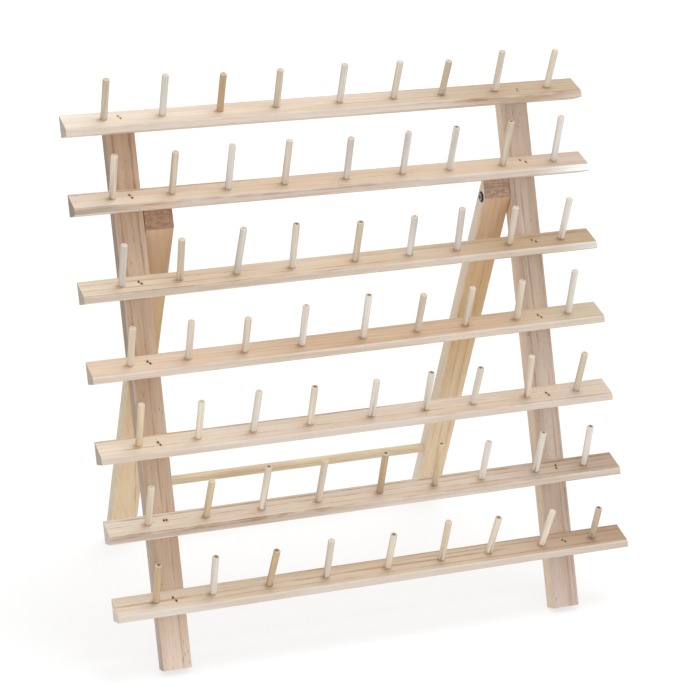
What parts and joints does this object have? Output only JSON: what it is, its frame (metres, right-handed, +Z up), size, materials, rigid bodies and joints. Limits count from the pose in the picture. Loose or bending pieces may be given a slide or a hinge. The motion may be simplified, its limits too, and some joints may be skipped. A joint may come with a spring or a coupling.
{
  "type": "folding thread rack",
  "caption": "Free-standing wooden thread rack: rows of slanted dowel pegs on sloping rails across two uprights, held up by a hinged pair of rear legs that folds flat.",
  "frame": {"origin": "on the floor, under the middle of the standing rack's bounding box", "axes": "+X to the right along the rails as seen from the pegs, +Y from the pegs towards the rear legs, +Z up"},
  "size_m": [0.4002, 0.2362, 0.4079],
  "materials": {
    "rail_wood": "bare, planed",
    "upright_wood": "bare, planed",
    "leg_wood": "bare, planed",
    "peg_wood": "bare dowel",
    "dowel_wood": "bare dowel",
    "brad_steel": "dark, set below the surface",
    "bolt_black": "black oxide",
    "washer_steel": "plain",
    "insert_brass": "plain"
  },
  "bodies": {
    "front_frame": {"upright_left": "upright_wood", "upright_right": "upright_wood", "rail_1": "rail_wood", "rail_2": "rail_wood", "rail_3": "rail_wood", "rail_4": "rail_wood", "rail_5": "rail_wood", "rail_6": "rail_wood", "rail_7": "rail_wood", "pegs_row_1": "peg_wood", "pegs_row_2": "peg_wood", "pegs_row_3": "peg_wood", "pegs_row_4": "peg_wood", "pegs_row_5": "peg_wood", "pegs_row_6": "peg_wood", "pegs_row_7": "peg_wood", "brads_row_1": "brad_steel", "brads_row_2": "brad_steel", "brads_row_3": "brad_steel", "brads_row_4": "brad_steel", "brads_row_5": "brad_steel", "brads_row_6": "brad_steel", "brads_row_7": "brad_steel", "pivot_bolt_left": "bolt_black", "pivot_bolt_right": "bolt_black", "pivot_washer_left": "washer_steel", "pivot_washer_right": "washer_steel", "threaded_insert_left": "insert_brass", "threaded_insert_right": "insert_brass"},
    "rear_stand": {"rear_leg_left": "leg_wood", "rear_leg_right": "leg_wood", "cross_dowel": "dowel_wood"}
  },
  "joints": [
    {"name": "rear_stand_fold", "type": "hinge", "parent": "front_frame", "child": "rear_stand", "pos_m": [0, 0.00176, 0.29719], "axis": [-1, 0, 0], "range_deg": [0, 41.5]}
  ]
}
